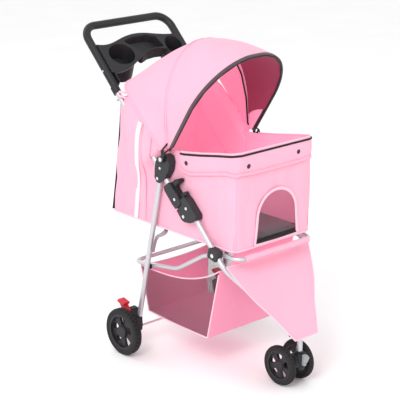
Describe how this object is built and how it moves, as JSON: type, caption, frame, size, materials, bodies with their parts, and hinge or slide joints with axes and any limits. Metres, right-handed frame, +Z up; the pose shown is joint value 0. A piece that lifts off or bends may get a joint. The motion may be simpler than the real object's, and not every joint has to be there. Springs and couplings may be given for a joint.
{
  "type": "pet stroller",
  "caption": "Folding three-corner pet stroller with a mesh-windowed fabric cabin, a bow canopy, a cup tray handle, a storage basket and a swivelling twin front caster.",
  "frame": {"origin": "on the ground, under the middle of the bounding box, in the symmetry plane of the frame", "axes": "+Z up, -Y towards the front (the caster), +X to the stroller's own left"},
  "size_m": [0.485, 0.8085, 0.9695],
  "materials": {
    "silver": "satin silver-grey powder coat",
    "dark_plastic": "fine matte charcoal",
    "black_plastic": "fine matte black",
    "grey_plastic": "smooth grey",
    "steel": "zinc plated",
    "hub": "dark grey moulded",
    "tyre": "matte foamed rubber",
    "red_plastic": "smooth red",
    "pink_fabric": "plain-woven pink polyester",
    "mesh": "fine black net",
    "board": "stiff board",
    "pad": "grey plush"
  },
  "bodies": {
    "front_frame": {"front_leg_left": "silver", "front_leg_right": "silver", "fork_crown": "black_plastic", "stem_tube": "silver", "stem_bush": "black_plastic", "latch_lower_left": "dark_plastic", "latch_lower_right": "dark_plastic", "latch_rivets": "steel", "link_brackets": "dark_plastic", "link_front_pins": "steel", "front_panel": "pink_fabric", "cabin_shell": "pink_fabric", "window_mesh": "mesh", "rear_mesh": "mesh", "floor_board": "board", "floor_pad": "pad", "flap_band": "pink_fabric"},
    "caster": {"caster_housing": "black_plastic", "caster_kingpin": "steel", "front_axle": "steel"},
    "swivel_lock": {"swivel_lock": "grey_plastic"},
    "front_wheel_left": {"front_tyre_left": "tyre", "front_hub_left": "hub"},
    "front_wheel_right": {"front_tyre_right": "tyre", "front_hub_right": "hub"},
    "handle": {"handle_tube_left": "silver", "handle_tube_right": "silver", "handle_grip": "black_plastic", "cup_tray": "black_plastic", "handle_collars": "black_plastic", "tray_screws": "steel", "latch_upper_left": "dark_plastic", "latch_upper_right": "dark_plastic", "handle_brackets": "dark_plastic", "handle_rivets": "steel", "canopy_pivot_pins": "steel", "canopy_cover": "pink_fabric"},
    "latch_hook_left": {"latch_hook_left": "black_plastic"},
    "latch_hook_right": {"latch_hook_right": "black_plastic"},
    "canopy_front": {"canopy_front_bow": "steel"},
    "canopy_middle": {"canopy_middle_bow": "steel"},
    "rear_legs": {"rear_leg_left": "silver", "rear_leg_right": "silver", "rear_carrier_left": "black_plastic", "rear_carrier_right": "black_plastic", "rear_axle_rod": "steel", "pedal_pins": "steel", "link_spacers": "black_plastic"},
    "brake_pedal_left": {"brake_pedal_left": "red_plastic"},
    "brake_pedal_right": {"brake_pedal_right": "red_plastic"},
    "rear_wheel_left": {"rear_tyre_left": "tyre", "rear_hub_left": "hub"},
    "rear_wheel_right": {"rear_tyre_right": "tyre", "rear_hub_right": "hub"},
    "link": {"link_rail_left": "silver", "link_rail_right": "silver", "link_front_cross": "silver", "link_rear_cross": "silver", "basket": "pink_fabric"}
  },
  "joints": [
    {"name": "fold", "type": "hinge", "parent": "front_frame", "child": "handle", "pos_m": [0, -0.083, 0.48], "axis": [-1, 0, 0], "range_deg": [0, 140], "deforming": ["cabin_shell", "window_mesh", "rear_mesh", "flap_band", "basket"]},
    {"name": "rear_leg_fold", "type": "hinge", "parent": "handle", "child": "rear_legs", "pos_m": [0, 0.03, 0.569], "axis": [1, 0, 0], "range_deg": [0, 97.5]},
    {"name": "link_fold", "type": "hinge", "parent": "front_frame", "child": "link", "pos_m": [0, -0.202, 0.392], "axis": [-1, 0, 0], "range_deg": [0, 79.8]},
    {"name": "canopy_front_fold", "type": "hinge", "parent": "handle", "child": "canopy_front", "pos_m": [0, 0.002, 0.634], "axis": [-1, 0, 0], "range_deg": [0, 57], "deforming": ["canopy_cover"]},
    {"name": "canopy_middle_fold", "type": "hinge", "parent": "handle", "child": "canopy_middle", "pos_m": [0, 0.002, 0.634], "axis": [-1, 0, 0], "range_deg": [0, 26.22]},
    {"name": "caster_swivel", "type": "hinge", "parent": "front_frame", "child": "caster", "pos_m": [0, -0.379, 0.12], "axis": [0, 0, 1], "continuous": true},
    {"name": "swivel_lock_slide", "type": "slide", "parent": "caster", "child": "swivel_lock", "axis": [0, 0, 1], "range_m": [0, 0.008]},
    {"name": "front_wheel_left_spin", "type": "hinge", "parent": "caster", "child": "front_wheel_left", "pos_m": [0, -0.338, 0.0595], "axis": [1, 0, 0], "continuous": true},
    {"name": "front_wheel_right_spin", "type": "hinge", "parent": "caster", "child": "front_wheel_right", "pos_m": [0, -0.338, 0.0595], "axis": [1, 0, 0], "continuous": true},
    {"name": "rear_wheel_left_spin", "type": "hinge", "parent": "rear_legs", "child": "rear_wheel_left", "pos_m": [0, 0.136, 0.0725], "axis": [1, 0, 0], "continuous": true},
    {"name": "rear_wheel_right_spin", "type": "hinge", "parent": "rear_legs", "child": "rear_wheel_right", "pos_m": [0, 0.136, 0.0725], "axis": [1, 0, 0], "continuous": true},
    {"name": "brake_pedal_left_press", "type": "hinge", "parent": "rear_legs", "child": "brake_pedal_left", "pos_m": [0, 0.158, 0.1225], "axis": [-1, 0, 0], "range_deg": [0, 25]},
    {"name": "brake_pedal_right_press", "type": "hinge", "parent": "rear_legs", "child": "brake_pedal_right", "pos_m": [0, 0.158, 0.1225], "axis": [-1, 0, 0], "range_deg": [0, 25]},
    {"name": "latch_hook_left_squeeze", "type": "hinge", "parent": "handle", "child": "latch_hook_left", "pos_m": [0, -0.04504, 0.52263], "axis": [-1, 0, 0], "range_deg": [0, 12], "stiffness_Nm_per_rad": 0.4, "springref_deg": -11.46},
    {"name": "latch_hook_right_squeeze", "type": "hinge", "parent": "handle", "child": "latch_hook_right", "pos_m": [0, -0.04504, 0.52263], "axis": [-1, 0, 0], "range_deg": [0, 12], "stiffness_Nm_per_rad": 0.4, "springref_deg": -11.46}
  ],
  "couplings": [
    {"joint": "rear_leg_fold", "follows": "fold", "ratio": 0.6961},
    {"joint": "link_fold", "follows": "fold", "ratio": 0.5695},
    {"joint": "canopy_middle_fold", "follows": "canopy_front_fold", "ratio": 0.46}
  ]
}
